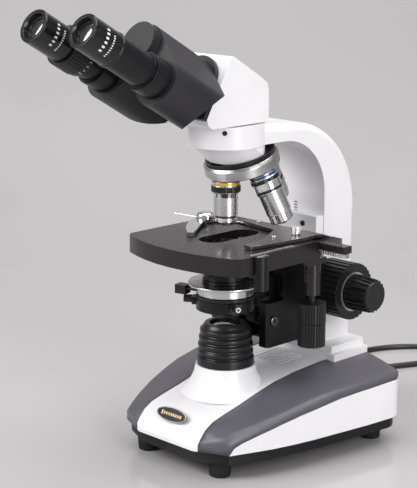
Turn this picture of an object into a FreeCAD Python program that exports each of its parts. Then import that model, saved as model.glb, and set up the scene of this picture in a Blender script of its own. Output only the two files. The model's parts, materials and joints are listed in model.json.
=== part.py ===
"""Binocular compound microscope, millimetres.

Design frame: the optical axis is the line x = 0, y = 0, the table is z = 0, the user sits
towards -Y and +X is to the user's right. When the files are written, everything moves along Y
so that the origin lies under the middle of the bounding box, on the table.
"""
import FreeCAD, Part
import math
import os

V = FreeCAD.Vector
X_AXIS = V(1, 0, 0)
Z_AXIS = V(0, 0, 1)

# ---- driving dimensions -------------------------------------------------------------------

# base: height of the casting along Y, at its middle, at the wing's inner edge and at the crease
FOOT_HEIGHT = 13.0
WALL_FOOT = 22.6            # lower edge of the white casting
DECK_Z = 65.0
BASE_WALL = 3.2
STRIP_HALF = 35.5           # half width of the white strip between the wings
BASE_Y = (-68.5, -64, -58.2, -50, -38, -20, 0, 20, 45, 76, 108, 134)
MIDDLE_Z = (26, 33, 43, 47.5, 50, 52.5, 56, 60.2, 63.5, 65, 65, 65)
STRIP_Z = (25.5, 32, 38.5, 43, 46.2, 50.2, 55.5, 60, 63.2, 65, 65, 65)
CREASE_Z = (24.8, 29, 34, 38.3, 42, 46.4, 50.8, 55, 58, 59.6, 59, 57.5)
SIDE_X = (56, 57.5, 59.3, 62.2, 66.8, 73.2, 78.4, 82.3, 86, 90.4, 93.5, 93.5)
CREASE_INSET = 4.0
CREASE_DROP = 5.0
NOSE_HALF = 31.0            # half width of the flat front face
NOSE_CORNER = (60.0, -56.0)
REAR_OUTLINE = ((93.4, 104), (92, 111.5), (87.5, 118.5), (80, 122.5), (62, 127), (44, 130))
REAR_MIDDLE = 134.0
WING_EDGE = ((-75, 20), (-56.5, 20), (-55.6, 23), (-51.8, 28.2), (-45.7, 31.3), (-31.2, 36.1),
             (-14, 41.1), (4.6, 45.4), (24.5, 48.6), (45.2, 51.7), (66.7, 53.4), (88.8, 54.4),
             (140, 55.5))
STEP_1 = (44.0, 86.0, 132.0, 70.0)     # half width, front, rear, top of the lower step
STEP_2 = (38.5, 89.0, 133.0, 76.0)
DIAL_AT = (30.0, 37.0)      # brightness dial's y and z
SWITCH_X = 32.0
SWITCH_FACE = 132.4
ROCKER_PIVOT = (128.4, 37.0)
ROCKER_TIP = 8.0            # tilt of the switch at rest, which is off
FRONT_FOOT = (42.0, -48.0)
REAR_FOOT = (69.0, 105.0)

# lamp
LAMP_FOOT = 73.5
LAMP_TOP = 108.2
LAMP_R = 23.5
RIB_R = (22.9, 22.7, 22.0, 21.1)

# arm and head seat
ARM_HALF = 24.0
ARM_FRONT = 93.0
ARM_REAR = 131.8
COLLAR_R = 31.0
COLLAR_Z = (255.6, 273.5)
CLAMP_WAY = (0.68, -0.733)  # direction of the head clamp screw
STOP_X = 8.0                # guide cover's screw
STOP_Z = 179.5

# focus drive, carried in the arm
FOCUS_Y = 96.0
FOCUS_Z = 126.4
MODULE = 0.8
FOCUS_TEETH = 16
COARSE_SHAFT_R = 2.9
FINE_SHAFT_R = 1.6
RUNNING = 0.06              # radial clearance of shafts in their bores
COARSE_R = 24.0
COARSE_X = (27.0, 55.5)
FINE_X = (56.2, 79.0)

# nosepiece
TILT = 17.0                 # nosepiece axis from the vertical
SHOULDER_Z = 226.0          # objective shoulder: 45 mm above a specimen on a 1.1 mm slide
PITCH_R = 21.0              # objectives' circle on the nosepiece
TURRET_R = 31.0

# stage
STAGE_TOP = 179.9
STAGE_HALF = 64.0
STAGE_SKIRT = 14.5
STAGE_PLATE = 6.5
HOLE_HALF = 12.0
HOLE_Y = (-26.0, 32.5)
LOWER_PLATE_Z = (163.2, 173.0)
CARRIAGE_HALF = 22.0
KNOB_AT = (56.0, 43.0)      # stage knobs' axis
STAGE_PINION_TEETH = 10
Y_RACK_X = 51.6             # back of the front-to-back rack's teeth
FINGER_PIVOT = (-51.3, 27.0)
THUMB_AT = (44.8, 35.0)
POST_AT = (STAGE_HALF + 0.3, -27.0)

# condenser
CONDENSER_TEETH = 12
CONDENSER_SHAFT_R = 2.6
SCREW_ANGLES = (-28, -142)  # centring screws
SCREW_Z = 127.2
PINION_AT = (33.5, 106.7)   # condenser pinion's y and z

# viewing head: axis of the tubes, from the horizontal, and its own frame (x, n, a)
TUBE_TILT = 30.3
TUBE_N = 223.8
TUBE_X = 27.4
HINGE_N = 250.0
FACE_A = 327.0              # front face of the eyepieces
HOUSING_A = (187.3, 246.8)
SPLIT_A = 199.2             # plane between the two housings at the hinge
HOUSING_R = 20.0
BEVEL_AT = 35.0             # distance from the hinge where the rear bevel begins
BARREL_R = 17.0

# mains lead
CORD_D = 5.2
LAID = 2.7                  # height of the cord's middle where it lies on the table
CORD_EXIT = (-58.0, 150.0, 30.0)
GLAND_FACE = 129.6          # rear face of the pad that the cord's gland sits in
COIL_AT = (-12.0, 174.0)
COIL_R = 28.0
COIL_TURNS = 6              # two side by side, three high
CORD_ROUTE = (CORD_EXIT, (-58.0, 168.0, 30.0), (-60.0, 187.0, 12.0), (-64.0, 207.0, LAID),
              (-78.0, 236.0, LAID), (-88.0, 264.0, LAID), (-84.0, 294.0, LAID),
              (-70.0, 322.0, LAID), (-46.0, 343.0, LAID), (-18.0, 346.0, LAID),
              (-4.0, 328.0, LAID), (-15.0, 303.0, LAID), (-29.0, 274.0, LAID),
              (-42.0, 246.0, LAID), (-44.0, 216.0, LAID), (-40.0, 190.0, LAID))


# ---- small helpers ------------------------------------------------------------------------

def box(x0, x1, y0, y1, z0, z1):
    return Part.makeBox(x1 - x0, y1 - y0, z1 - z0, V(x0, y0, z0))


def rod(start, end, radius):
    """Cylinder between two points."""
    start, end = V(*start), V(*end)
    way = end - start
    return Part.makeCylinder(radius, way.Length, start, way)


def disc(radius, z0, z1, x=0, y=0):
    return Part.makeCylinder(radius, z1 - z0, V(x, y, z0))


def ring(outer, inner, z0, z1, x=0, y=0):
    return disc(outer, z0, z1, x, y).cut(disc(inner, z0 - 1, z1 + 1, x, y))


def prism_z(points, z0, z1):
    """Polygon of (x, y) points, extruded upwards."""
    wire = Part.makePolygon([V(x, y, z0) for x, y in points + points[:1]])
    return Part.Face(wire).extrude(V(0, 0, z1 - z0))


def prism_x(points, x0, x1):
    """Polygon of (y, z) points, extruded along X."""
    wire = Part.makePolygon([V(x0, y, z) for y, z in points + points[:1]])
    return Part.Face(wire).extrude(V(x1 - x0, 0, 0))


def turned(profile, x=0, y=0):
    """Solid of revolution about the vertical through (x, y); profile is (radius, z) points."""
    wire = Part.makePolygon([V(x + r, y, z) for r, z in profile + profile[:1]])
    return Part.Face(wire).revolve(V(x, y, 0), Z_AXIS, 360)


def fused(shapes):
    return shapes[0].multiFuse(shapes[1:]).removeSplitter()


def mirrored_x(shape):
    return shape.mirror(V(0, 0, 0), X_AXIS)


def placed(shape, placement):
    """Copy of the shape with one more placement on top of its own."""
    out = shape.copy()
    out.Placement = placement.multiply(out.Placement)
    return out


def lay_along_x(shape, y, z):
    """Turn a shape built up the Z axis so that it points along +X through (y, z)."""
    return placed(shape, FreeCAD.Placement(V(0, y, z), FreeCAD.Rotation(V(0, 1, 0), 90)))


def fluted(radius, depth, count, z0, z1):
    """Knob blank with flat-bottomed flutes, about the Z axis."""
    points = []
    step = 2 * math.pi / count
    for i in range(count):
        for share, r in ((0.0, radius), (0.55, radius), (0.68, radius - depth),
                         (0.87, radius - depth)):
            angle = (i + share) * step
            points.append((r * math.cos(angle), r * math.sin(angle)))
    return prism_z(points, z0, z1)


def gear(teeth, z0, z1):
    """Spur pinion about the Z axis with a tooth centred on -X."""
    pitch_r = MODULE * teeth / 2
    step = 2 * math.pi / teeth
    points = []
    for i in range(teeth):
        for share, r in ((-0.28, pitch_r - 0.65), (-0.13, pitch_r + 0.3),
                         (0.13, pitch_r + 0.3), (0.28, pitch_r - 0.65)):
            angle = math.pi + (i + share) * step
            points.append((r * math.cos(angle), r * math.sin(angle)))
    return prism_z(points, z0, z1)


def tooth_places(gap_at, low, high):
    """Middles of the rack's teeth between low and high, with a gap centred at gap_at."""
    pitch = math.pi * MODULE
    first = math.ceil((low - gap_at) / pitch - 0.5)
    last = math.floor((high - gap_at) / pitch - 0.5)
    return [gap_at + (i + 0.5) * pitch for i in range(first, last + 1)]


def rack_teeth(gap_at, low, high, at, out, x0, x1, facing):
    """Teeth of a vertical rack between heights low and high, standing out of the plane y = at."""
    bars = []
    for middle in tooth_places(gap_at, low, high):
        profile = [(at - 0.3 * facing, middle - 0.62), (at + out * facing, middle - 0.3),
                   (at + out * facing, middle + 0.3), (at - 0.3 * facing, middle + 0.62)]
        bars.append(prism_x(profile, x0, x1))
    return bars


# ---- base ---------------------------------------------------------------------------------

def base_section(i, inset, low):
    """Closed cross-section of the casting at station i, inset inwards."""
    y = min(max(BASE_Y[i], BASE_Y[0] + inset), BASE_Y[-1] - inset)
    side = SIDE_X[i] - inset
    crease = CREASE_Z[i] - inset
    half = [(0, MIDDLE_Z[i] - inset), (STRIP_HALF, STRIP_Z[i] - inset),
            (side - CREASE_INSET, crease), (side, max(crease - CREASE_DROP, low + 0.6)),
            (side, low)]
    points = half + [(-x, z) for x, z in reversed(half[1:])]
    return Part.makePolygon([V(x, y, z) for x, z in points + points[:1]])


def base_form(inset, low):
    sections = [base_section(i, inset, low) for i in range(len(BASE_Y))]
    return Part.makeLoft(sections, True, True)


def base_outline(inset):
    """Plan of the base: flat nose, two bevelled corners, rounded rear corners, bowed rear."""
    half = [(NOSE_HALF, BASE_Y[0]), NOSE_CORNER]
    half += [(x, y) for x, y in zip(SIDE_X, BASE_Y) if NOSE_CORNER[1] < y < 100]
    half += list(REAR_OUTLINE)
    points = half + [(0, REAR_MIDDLE)] + [(-x, y) for x, y in reversed(half)]
    wire = Part.makePolygon([V(x, y, 0) for x, y in points + points[:1]])
    return wire.makeOffset2D(-inset) if inset else wire


def base_prism(inset, z0, z1):
    wire = base_outline(inset)
    wire.translate(V(0, 0, z0))
    return Part.Face(wire).extrude(V(0, 0, z1 - z0))


def base_shell():
    outer = base_form(0, WALL_FOOT).common(base_prism(0, 0, 100))
    inner = base_form(BASE_WALL, WALL_FOOT - 2).common(base_prism(BASE_WALL, 0, 100))
    return outer.cut(inner)


def wing_region():
    """Everything outside the white strip and above the wing's lower edge."""
    points = list(WING_EDGE) + [(140, 90), (-75, 90)]
    return prism_x(points, STRIP_HALF, 120)


def pedestal():
    """Flared foot of the lamp and the arm's two steps."""
    flare = turned([(19.5, 48), (38, 50), (33, 54.5), (29, 60), (26.2, 66), (24.6, LAMP_FOOT),
                    (19.5, LAMP_FOOT)])
    steps = [box(-half, half, front, rear, DECK_Z - 1, top).common(base_prism(0.3, 0, 100))
             for half, front, rear, top in (STEP_1, STEP_2)]
    return fused([flare] + steps)


def rear_pads():
    """Flat pads for the cord's gland and the switch."""
    x, _, z = CORD_EXIT
    return [box(x - 9, x + 9, 122, GLAND_FACE, z - 7, z + 7),
            box(SWITCH_X - 10, SWITCH_X + 10, 124, SWITCH_FACE, 28.6, 45.4)]


def base_cover(shell, region):
    """White casting with the lamp pedestal, the arm's two steps and the vent slots."""
    cover = shell.cut(region).cut(mirrored_x(region)).cut(disc(26, 40, 80))
    cover = cover.fuse(pedestal()).multiFuse(rear_pads())
    for i in range(-3, 4):
        cover = cover.cut(box(i * 5 - 1.1, i * 5 + 1.1, 50, 80, 50, 80))
    dial = lay_along_x(disc(4 + RUNNING, -110, -60), *DIAL_AT)
    rocker = box(SWITCH_X - 7.2, SWITCH_X + 7.2, 120, 140, 30.8, 43.2)
    x, _, z = CORD_EXIT
    gland = rod((x, 115, z), (x, 140, z), 5.1)
    return cover.cut(dial).cut(rocker).cut(gland).removeSplitter()


def bottom_plate():
    plate = base_prism(3.4, FOOT_HEIGHT, WALL_FOOT - 0.1)
    return plate.cut(base_prism(6.6, FOOT_HEIGHT + 2.5, WALL_FOOT + 1))


def foot_places():
    return [(sx * x, y) for x, y in (FRONT_FOOT, REAR_FOOT) for sx in (-1, 1)]


def rubber_feet():
    foot = [turned([(0, 0), (8, 0), (8.6, 1), (9.4, FOOT_HEIGHT), (0, FOOT_HEIGHT)], x, y)
            for x, y in foot_places()]
    return Part.makeCompound(foot)


def plate_screws():
    """Heads under the bottom plate."""
    return [turned([(0, 11.4), (3.2, 11.4), (3.6, FOOT_HEIGHT), (0, FOOT_HEIGHT)], x, y)
            for x in (-30, 30) for y in (-20, 80)]


def badge():
    """Oval plate on the sloping nose."""
    ellipse = Part.Ellipse(V(0, 0, 0), 16.9, 5.8).toShape()
    plate = Part.Face(Part.Wire(ellipse)).extrude(V(0, 0, 1.2))
    plate.Placement = FreeCAD.Placement(V(0, -60.4, 42.6), FreeCAD.Rotation(X_AXIS, 56))
    return plate


def lamp_collector():
    """Black ribbed light port."""
    outer = [(15, LAMP_FOOT), (LAMP_R, LAMP_FOOT), (LAMP_R, 80.2)]
    z = 80.8
    for r in RIB_R:
        outer += [(r - 1.4, z), (r - 1.4, z + 1.3), (r, z + 1.9), (r, z + 4.6)]
        z += 6.0
    outer += [(19.0, 105.2), (17.2, LAMP_TOP), (13.0, LAMP_TOP), (13.0, 104), (15, 102.5)]
    return turned(outer)


def field_lens():
    return turned([(0, 104.05), (12.9, 104.05), (12.9, 105.2), (9, 106.6), (4, 107.3),
                   (0, 107.4)])


def halogen_bulb():
    return turned([(0, 70.1), (3.5, 70.1), (5.4, 73), (5.4, 86), (3, 90), (0, 91)])


def transformer():
    return fused([box(-32, 22, 88, 120, 17, 50), box(-22, 12, 82, 88, 22, 45)])


def dimmer_dial():
    blank = fluted(10, 0.8, 22, 0, 6.4)
    dial = fused([blank, disc(4, -6, 0)])
    out = lay_along_x(dial, *DIAL_AT)
    out.translate(V(85.4, 0, 0))
    return mirrored_x(out)


def power_switch():
    """Rocker that tips about the short pins at its two ends."""
    out = SWITCH_FACE
    profile = [(out - 6, 34), (out - 6, 40), (out + 1.4, 42.5), (out + 2, 42), (out + 0.6, 37),
               (out + 2, 32), (out + 1.4, 31.5)]
    block = prism_x(profile, SWITCH_X - 6.6, SWITCH_X + 6.6)
    pins = rod((SWITCH_X - 7, *ROCKER_PIVOT), (SWITCH_X + 7, *ROCKER_PIVOT), 1.2)
    rocker = fused([block, pins])
    rocker.rotate(V(SWITCH_X, *ROCKER_PIVOT), X_AXIS, ROCKER_TIP)
    return rocker


# ---- arm ----------------------------------------------------------------------------------

def arm_profile():
    """Side view of the arm: column, bend and the reach to the head seat."""
    def line(p, q):
        return Part.LineSegment(V(0, *p), V(0, *q)).toShape()

    def arc(p, q, r):
        return Part.Arc(V(0, *p), V(0, *q), V(0, *r)).toShape()
    edges = [line((ARM_FRONT, STEP_2[3]), (ARM_REAR, STEP_2[3])),
             line((ARM_REAR, STEP_2[3]), (ARM_REAR + 2, 184)),
             arc((ARM_REAR + 2, 184), (112, 245), (57, 269)),
             line((57, 269), (10, 272)),
             line((10, 272), (10, COLLAR_Z[0])),
             line((10, COLLAR_Z[0]), (44, COLLAR_Z[0])),
             arc((44, COLLAR_Z[0]), (78.6, 241.3), (ARM_FRONT, 207)),
             line((ARM_FRONT, 207), (ARM_FRONT, STEP_2[3]))]
    return Part.Face(Part.Wire(edges)).extrude(V(2 * ARM_HALF, 0, 0))


def arm():
    body = arm_profile()
    body.translate(V(-ARM_HALF, 0, 0))
    outer = [e for e in body.Edges if is_outer_edge(e)]
    body = body.makeFillet(7.0, outer)
    collar = disc(COLLAR_R, *COLLAR_Z)
    body = body.fuse(collar).cut(disc(21.2, 262, 280)).cut(disc(12, 250, 265))
    pocket = box(-13, 13, ARM_FRONT - 1, 105, 116, 137)
    bore = lay_along_x(disc(COARSE_SHAFT_R + RUNNING, -30, 30), FOCUS_Y, FOCUS_Z)
    screw = clamp_line(15, 35, 2.1)
    return body.cut(pocket).cut(bore).cut(screw).removeSplitter()


def is_outer_edge(edge):
    """Long edges along the back and top of the arm."""
    middle = edge.valueAt((edge.FirstParameter + edge.LastParameter) / 2)
    on_side = abs(abs(middle.x) - ARM_HALF) < 0.01
    behind = middle.y > ARM_REAR - 2 or middle.z > 268 or (middle.y > 100 and middle.z > 200)
    return on_side and behind and edge.Length > 20


def clamp_line(r0, r1, radius):
    """Radial line of the head clamp screw, front right of the seat."""
    x, y = CLAMP_WAY
    return rod((x * r0, y * r0, 269), (x * r1, y * r1, 269), radius)


def frame_screws():
    """Head clamp screw, the guide cover's screw and those under the bottom plate."""
    stop = rod((STOP_X, 82.8, STOP_Z), (STOP_X, 90, STOP_Z), 2.2)
    return Part.makeCompound([clamp_line(21.6, 29.6, 2.0), stop] + plate_screws())


def guide_rails():
    """Two dovetail ways for the stage carriage."""
    half = [(16.5, ARM_FRONT - 0.02), (19.5, ARM_FRONT - 0.02), (20.5, 87), (15.5, 87)]
    rail = prism_z(half, 84, 165)
    return Part.makeCompound([rail, mirrored_x(rail)])


def guide_cover():
    cover = box(-23, 23, 84, ARM_FRONT - 0.02, 166, 187)
    return cover.cut(rod((STOP_X, 80, STOP_Z), (STOP_X, 90.1, STOP_Z), 2.25))


def nosepiece_up():
    a = math.radians(TILT)
    return V(0, -math.sin(a), math.cos(a))


def nosepiece_centre():
    """Middle of the objectives' shoulder circle."""
    a = math.radians(TILT)
    return V(0, PITCH_R * math.cos(a), SHOULDER_Z + PITCH_R * math.sin(a))


def on_nosepiece(shape):
    """Place a shape built about Z, with z = 0 at the shoulder circle's plane."""
    return placed(shape, FreeCAD.Placement(nosepiece_centre(), FreeCAD.Rotation(X_AXIS, TILT)))


def turret_dome():
    """White boss under the head seat, cut off square to the nosepiece axis."""
    form = turned([(0, 228), (24, 230), (28, 237.5), (30, 244), (30.9, 250), (31, 255.3),
                   (0, 255.3)])
    keep = on_nosepiece(turned([(0, 16.6), (26.4, 16.6), (28.6, 19), (31.5, 24), (36, 34),
                                (60, 90), (0, 90)]))
    return form.common(keep).cut(disc(12, 220, 260))


def nosepiece_plate():
    """Black fixed plate that the nosepiece turns on."""
    plate = on_nosepiece(disc(28.6, 13.6, 16.5)).cut(box(-40, 40, 0, 80, 255.2, 270))
    pin = on_nosepiece(disc(4, 4.3, 14))
    bore = rod((0, 0, 220), (0, 0, 280), 11)
    return fused([plate, pin]).cut(bore)


# ---- nosepiece and objectives -------------------------------------------------------------

def turret():
    """Silver revolving plate, domed below so that each objective seats square."""
    a = math.radians(TILT)
    above = PITCH_R / math.tan(a)
    ball = math.hypot(PITCH_R, above)
    low = [(r, above - math.sqrt(ball * ball - r * r) + 0.05) for r in (0, 8, 15, 21, 26)]
    profile = low + [(TURRET_R - 0.6, 3.2), (TURRET_R, 3.8), (TURRET_R, 11), (29.4, 13.2),
                     (26, 13.2), (25.6, 12), (0, 12)]
    body = on_nosepiece(turned(profile)).cut(on_nosepiece(disc(4 + RUNNING, 3.9, 20)))
    for quarter in range(4):
        light = rod((0, 0, SHOULDER_Z - 9), (0, 0, SHOULDER_Z + 25), 6)
        light.rotate(nosepiece_centre(), nosepiece_up(), 90 * quarter)
        body = body.cut(light)
    return body


OBJECTIVES = {
    # quarter turn and profile: radius and distance below the shoulder
    "objective_10x": (0, ((11.2, 0), (11.2, 3.1), (11.7, 3.3), (11.7, 8.6), (10.6, 9.4),
                          (9.9, 12.5), (9.8, 13), (9.8, 27.6), (8.6, 28), (8.6, 33),
                          (7.0, 34), (6.6, 35.6), (3.4, 35.6))),
    "objective_40x": (1, ((11.2, 0), (11.2, 3.1), (11.7, 3.3), (11.7, 12.5), (11.0, 13),
                          (11.0, 16), (10.2, 16.8), (10.2, 34), (9.6, 34.4), (9.6, 41),
                          (8.6, 42), (4.6, 43.2), (2.2, 44.3))),
    "objective_100x": (2, ((11.2, 0), (11.2, 3.1), (11.7, 3.3), (11.7, 12.5), (11.0, 13),
                           (11.0, 27), (10.2, 28.5), (10.2, 35), (9.2, 36), (9.2, 40),
                           (4.6, 43.6), (1.8, 44.7))),
    "objective_4x": (3, ((11.2, 0), (11.2, 3.1), (11.7, 3.3), (11.7, 9), (11.2, 9.6),
                         (11.2, 21), (10.4, 22), (10.4, 26), (7.6, 26.6))),
}


def objective(quarter, profile):
    """Turned barrel with its thread, standing on the shoulder of its nosepiece seat."""
    bore = profile[-1][0]
    end = profile[-1][1]
    points = [(r, SHOULDER_Z - s) for r, s in profile]
    points += [(bore, SHOULDER_Z - end + 1.2), (5.2, SHOULDER_Z - end + 8),
               (5.2, SHOULDER_Z)]
    body = turned(points)
    lens = disc(bore - 0.3, SHOULDER_Z - end + 0.3, SHOULDER_Z - end + 1.5)
    body = fused([body, lens, disc(bore + 1.2, SHOULDER_Z - end + 1.0, SHOULDER_Z - end + 3)])
    body.rotate(nosepiece_centre(), nosepiece_up(), 90 * quarter)
    return body


# ---- viewing head -------------------------------------------------------------------------

def in_head(shape):
    """Place a shape built in the head's frame: x across, y along n, z along the tubes."""
    a = math.radians(TUBE_TILT)
    matrix = FreeCAD.Matrix(1, 0, 0, 0,
                            0, math.sin(a), -math.cos(a), 0,
                            0, math.cos(a), math.sin(a), 0,
                            0, 0, 0, 1)
    return placed(shape, FreeCAD.Placement(matrix))


def head_body():
    """White prism housing, its front face square to the tubes."""
    side = [(-40.7, 274.3), (-45.4, 277.8), (-46.6, 282.65), (-19.9, 328.4), (-17.4, 328.6),
            (13.6, 310.0), (20.3, 305.0), (21.8, 300.0), (21.8, 277.5), (18.6, 274.3)]
    block = prism_x(side, -26, 26)
    tail = ring(20.9, 11.5, 266, 274.4)
    hollow = prism_x([(-30, 279), (-36, 283), (-22, 310), (10, 300), (15, 279)], -20, 20)
    light = disc(11.5, 260, 281)
    port = in_head(disc(9, 170, 187, 0, HINGE_N - 14))
    return fused([block, tail]).cut(hollow).cut(light).cut(port)


def hinge_spindle():
    """Black front plate of the head and the pin that both housings turn on."""
    corners = [(-26, 219), (26, 219), (26, 236), (19.5, 251), (-19.5, 251), (-26, 236)]
    plate = disc(21, 182.9, 186.8, 0, HINGE_N).fuse(prism_z(corners, 182.9, 186.8))
    pin = disc(6, 184, 252, 0, HINGE_N)
    light = disc(9, 170, 190, 0, HINGE_N - 14)
    return in_head(fused([plate, pin]).cut(light))


def tube_hull(radius_a, at_a, radius_b, at_b, z0, z1):
    """Two round ends joined by their outer tangents."""
    (ax, ay), (bx, by) = at_a, at_b
    gap = math.hypot(bx - ax, by - ay)
    along = math.atan2(by - ay, bx - ax)
    spread = math.acos((radius_a - radius_b) / gap)
    corners = []
    for (cx, cy), r, sign in ((at_a, radius_a, 1), (at_b, radius_b, 1),
                              (at_b, radius_b, -1), (at_a, radius_a, -1)):
        angle = along + sign * spread
        corners.append((cx + r * math.cos(angle), cy + r * math.sin(angle)))
    return fused([prism_z(corners, z0, z1), disc(radius_a, z0, z1, ax, ay),
                  disc(radius_b, z0, z1, bx, by)])


def housing_web(z0, z1, keep_barrel):
    """Web of the right-hand housing between hinge and tube, clear of the other housing."""
    web = tube_hull(BARREL_R, (0, HINGE_N), HOUSING_R, (TUBE_X, TUBE_N), z0, z1)
    web = web.cut(box(-60, 0.4, 150, 300, z0 - 1, z1 + 1))
    barrel = disc(BARREL_R + (0 if keep_barrel else 0.4), z0, z1, 0, HINGE_N)
    return web.fuse(barrel) if keep_barrel else web.cut(barrel)


def tube_passage():
    """Bore of a housing, in line with its tube."""
    return disc(11, HOUSING_A[0] + 23, HOUSING_A[1] + 1, TUBE_X, TUBE_N)


def mirror_bevel():
    """Wedge that slopes the rear of a housing at 45 degrees, away from the hinge."""
    low = HOUSING_A[0]
    wedge = prism_z([(BEVEL_AT, -60), (BEVEL_AT + 60, -60), (BEVEL_AT + 60, 60), (BEVEL_AT, 60)],
                    low - 60, low)
    wedge.rotate(V(BEVEL_AT, 0, low), V(0, 1, 0), -45)
    towards_tube = math.degrees(math.atan2(TUBE_N - HINGE_N, TUBE_X))
    wedge.rotate(V(0, 0, 0), Z_AXIS, towards_tube)
    wedge.translate(V(0, HINGE_N, 0))
    return wedge


def right_housing():
    front = housing_web(SPLIT_A + 0.2, HOUSING_A[1], True)
    nose = disc(BARREL_R - 1.2, HOUSING_A[1] - 1, 254.5, 0, HINGE_N)
    rear = housing_web(HOUSING_A[0], SPLIT_A + 0.3, False)
    body = fused([front, nose, rear]).cut(tube_passage()).cut(mirror_bevel())
    return in_head(body.cut(disc(6 + RUNNING, 170, 252.4, 0, HINGE_N)))


def left_housing():
    """Mirror image in outline, but its hinge eye lies behind the right-hand one."""
    front = housing_web(SPLIT_A - 0.3, HOUSING_A[1], False)
    rear = housing_web(HOUSING_A[0], SPLIT_A - 0.2, True)
    body = fused([front, rear]).cut(tube_passage()).cut(mirror_bevel())
    body = body.cut(disc(6 + RUNNING, 170, 252.4, 0, HINGE_N))
    return in_head(mirrored_x(body))


def eye_tube(side, flange_end):
    flange = disc(15.6, HOUSING_A[1] + 0.02, flange_end, TUBE_X, TUBE_N)
    barrel = disc(13, flange_end - 1, 295.9, TUBE_X, TUBE_N)
    bore = disc(11.65, 240, 300, TUBE_X, TUBE_N)
    body = fused([flange, barrel]).cut(bore)
    return in_head(body if side > 0 else mirrored_x(body))


def diopter_ring():
    body = fluted(16.4, 0.5, 40, 279.5, 295.6)
    body = fused([body, disc(15.4, 274.5, 280)])
    body = body.cut(disc(13 + RUNNING, 270, 300))
    body.translate(V(-TUBE_X, TUBE_N, 0))
    return in_head(body)


def eyepiece(side):
    profile = [(11.6, 268), (11.6, 296.2), (13.9, 296.2), (13.9, 298), (13.4, 298.4),
               (13.4, FACE_A - 0.8), (12.6, FACE_A), (10.2, FACE_A), (9.2, FACE_A - 2.6),
               (9.2, FACE_A - 4.6), (8.6, FACE_A - 4.6), (8.6, 272), (9.6, 268)]
    return in_head(turned(profile, side * TUBE_X, TUBE_N))


def eye_lens(side):
    profile = [(0, FACE_A - 7.5), (8.55, FACE_A - 6.5), (8.55, FACE_A - 4.6),
               (5, FACE_A - 3.6), (0, FACE_A - 3.2)]
    return in_head(turned(profile, side * TUBE_X, TUBE_N))


# ---- focus carriage, stage and slide holder -----------------------------------------------

def focus_carriage():
    """Black block on the arm's ways; it carries the lower stage plate and the condenser."""
    plan = [(-CARRIAGE_HALF, 46), (CARRIAGE_HALF, 46), (CARRIAGE_HALF, 92.5), (13.4, 92.5),
            (13.4, 88.8), (-13.4, 88.8), (-13.4, 92.5), (-CARRIAGE_HALF, 92.5)]
    block = prism_z(plan, 84, LOWER_PLATE_Z[0] - 0.02)
    cheek = prism_z([(12.2, 27), (CARRIAGE_HALF - 2.6, 27), (CARRIAGE_HALF, 29.6),
                     (CARRIAGE_HALF, 46.5), (12.2, 46.5)], 84, 122)
    way = [(16.3, 93), (19.7, 93), (20.7, 86.8), (15.3, 86.8)]
    groove = prism_z(way, 80, 170)
    body = fused([block, cheek, mirrored_x(cheek)]).cut(groove).cut(mirrored_x(groove))
    pitch_y = FOCUS_Y - MODULE * FOCUS_TEETH / 2
    teeth = rack_teeth(FOCUS_Z, 90, 150, 88.8, pitch_y + 0.25 - 88.8, -4, 4, 1)
    body = body.multiFuse(teeth)
    slot = box(-12.2, 12.2, 38.3, 46.3, 80, 165)
    over_steps = box(-23, 23, 84.5, 94, 80, 90)
    bore = lay_along_x(disc(CONDENSER_SHAFT_R + RUNNING, -40, 40), *PINION_AT)
    return body.cut(slot).cut(over_steps).cut(bore)


def lower_stage():
    """Plate on the carriage, thinner behind, with the rack of the front-to-back drive."""
    low, top = LOWER_PLATE_Z
    plate = box(-46, 46, -38, 83.4, low, top).cut(box(-50, 50, 27, 90, top - 5.1, top + 1))
    ear = box(40, Y_RACK_X, 10, 27, low + 2.5, top)
    bar = box(Y_RACK_X - 2.4, Y_RACK_X, 20, 62, top - 1.2, top)
    teeth = []
    for along in tooth_places(KNOB_AT[1], 21, 61):
        bar_points = [(Y_RACK_X - 0.2, along - 0.62), (Y_RACK_X + 0.6, along - 0.3),
                      (Y_RACK_X + 0.6, along + 0.3), (Y_RACK_X - 0.2, along + 0.62)]
        teeth.append(prism_z(bar_points, top - 1.2, top))
    body = fused([plate, ear, bar] + teeth)
    return body.cut(disc(23, 150, 180)).cut(box(-12.6, 12.6, 22, 46.3, 150, 180))


def vernier_post():
    """Rounded post beside the stage's right edge, on a foot from the lower plate."""
    x, y = POST_AT
    half = disc(7, 152.5, STAGE_TOP - 0.2, x, y).common(box(x, x + 8, y - 8, y + 8, 150, 190))
    foot = box(46.02, x + 2, y - 5, y + 5, 162, STAGE_TOP - STAGE_SKIRT - 0.3)
    return fused([half, foot])


def stage_outline(inset):
    """Plan of the upper stage: bowed front, bevelled corners, straight rear."""
    half = STAGE_HALF - inset
    bow = []
    for k in range(9):
        x = half - 4 - 2 * (half - 4) * k / 8
        bow.append((x, -63.5 + inset + 14.5 * (x / STAGE_HALF) ** 2))
    return [(-half, 40.5), (half, 40.5), (half, -46)] + bow + [(-half, -46)]


def stadium(half, y0, y1, z0, z1):
    body = box(-half, half, y0 + half, y1 - half, z0, z1)
    return fused([body, disc(half, z0, z1, 0, y0 + half), disc(half, z0, z1, 0, y1 - half)])


def upper_stage():
    """Black skirted plate that slides front to back over the lower plate."""
    body = prism_z(stage_outline(0), STAGE_TOP - STAGE_SKIRT, STAGE_TOP)
    under = stage_outline(4)
    under = [(x, 60 if y > 40 else y) for x, y in under]
    body = body.cut(prism_z(under, 150, STAGE_TOP - STAGE_PLATE))
    body = body.cut(stadium(HOLE_HALF, *HOLE_Y, 150, 190))
    bracket = box(47, 63, 33, 52, 160.5, 165.3)
    neck = disc(7.0, 134.5, 160.6, *KNOB_AT)
    post = box(60.5, 64, 30, 43, 160.6, 172)
    body = fused([body, bracket, neck, post])
    return body.cut(disc(3 + RUNNING, 130, 172, *KNOB_AT))


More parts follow.
